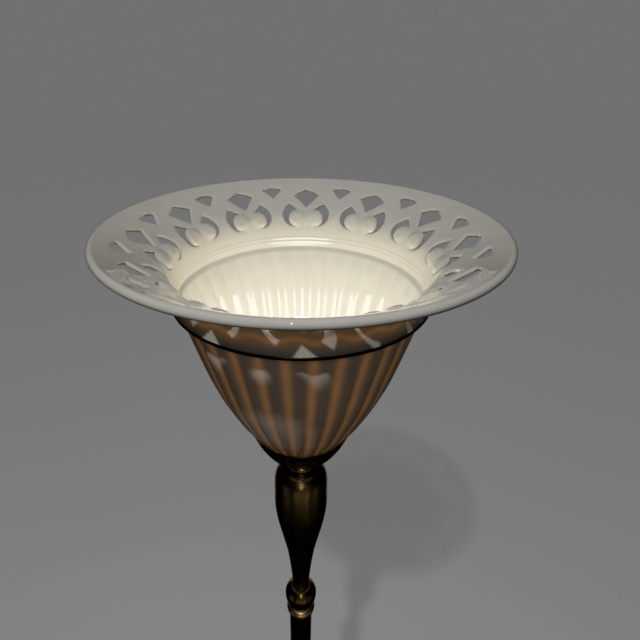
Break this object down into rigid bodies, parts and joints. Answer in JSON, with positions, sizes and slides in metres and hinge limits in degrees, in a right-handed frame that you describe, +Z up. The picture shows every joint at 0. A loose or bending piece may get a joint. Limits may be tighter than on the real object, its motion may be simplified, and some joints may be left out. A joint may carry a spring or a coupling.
{
  "type": "torchiere floor lamp",
  "caption": "Free-standing uplighter lamp: a pierced, flared porcelain bowl on a turned antique brass column with a heavy round base.",
  "frame": {"origin": "centre of the felt pad's underside, on the floor", "axes": "+Z up along the column, -Y the front that the switch knob points to, +Y the back with the cord inlet"},
  "size_m": [0.3556, 0.3556, 1.75],
  "materials": {
    "porcelain": "glossy cream glaze over thin translucent porcelain",
    "gilt": "thin gilt band",
    "antique_brass": "dark antique brass, lacquered and smooth",
    "polished_brass": "polished",
    "raw_brass": "plain stamped brass",
    "cast_iron": "rough casting",
    "zinc_steel": "zinc plated",
    "rubber": "matte",
    "phenolic": "moulded, semi-gloss",
    "card": "plain",
    "bulb_glass": "frosted, lit",
    "bulb_metal": "bright",
    "felt": "felt"
  },
  "bodies": {
    "lamp": {"porcelain_shade": "porcelain", "neck_band": "gilt", "shade_cup": "antique_brass", "seat_spacer": "raw_brass", "seat_washer": "zinc_steel", "lower_rubber_washer": "rubber", "upper_rubber_washer": "rubber", "clamp_washer": "zinc_steel", "shade_locknut": "zinc_steel", "socket_cap": "raw_brass", "socket_shell": "raw_brass", "socket_liner": "card", "socket_body": "phenolic", "screw_shell": "raw_brass", "centre_contact": "raw_brass", "terminal_screw_hot": "raw_brass", "terminal_screw_neutral": "raw_brass", "column_vase": "antique_brass", "column_knob": "antique_brass", "column_ring": "polished_brass", "upper_tube": "antique_brass", "mid_ring_upper": "polished_brass", "mid_coupling": "antique_brass", "mid_ring_lower": "polished_brass", "lower_tube": "antique_brass", "base_ring": "polished_brass", "base_vase": "antique_brass", "base_cover": "antique_brass", "base_weight": "cast_iron", "felt_pad": "felt", "base_washer": "zinc_steel", "base_nut": "zinc_steel", "centre_rod": "zinc_steel", "cord_bushing": "phenolic"},
    "bulb": {"bulb_glass": "bulb_glass", "bulb_base": "bulb_metal", "bulb_insulator": "phenolic", "bulb_contact": "bulb_metal"},
    "switch": {"switch_shaft": "raw_brass", "switch_knob": "phenolic"}
  },
  "joints": [
    {"name": "bulb_unscrew", "type": "slide", "parent": "lamp", "child": "bulb", "axis": [0, 0, 1], "range_m": [0, 0.03]},
    {"name": "switch_turn", "type": "hinge", "parent": "lamp", "child": "switch", "pos_m": [0, 0, 1.531], "axis": [0, -1, 0], "continuous": true}
  ]
}
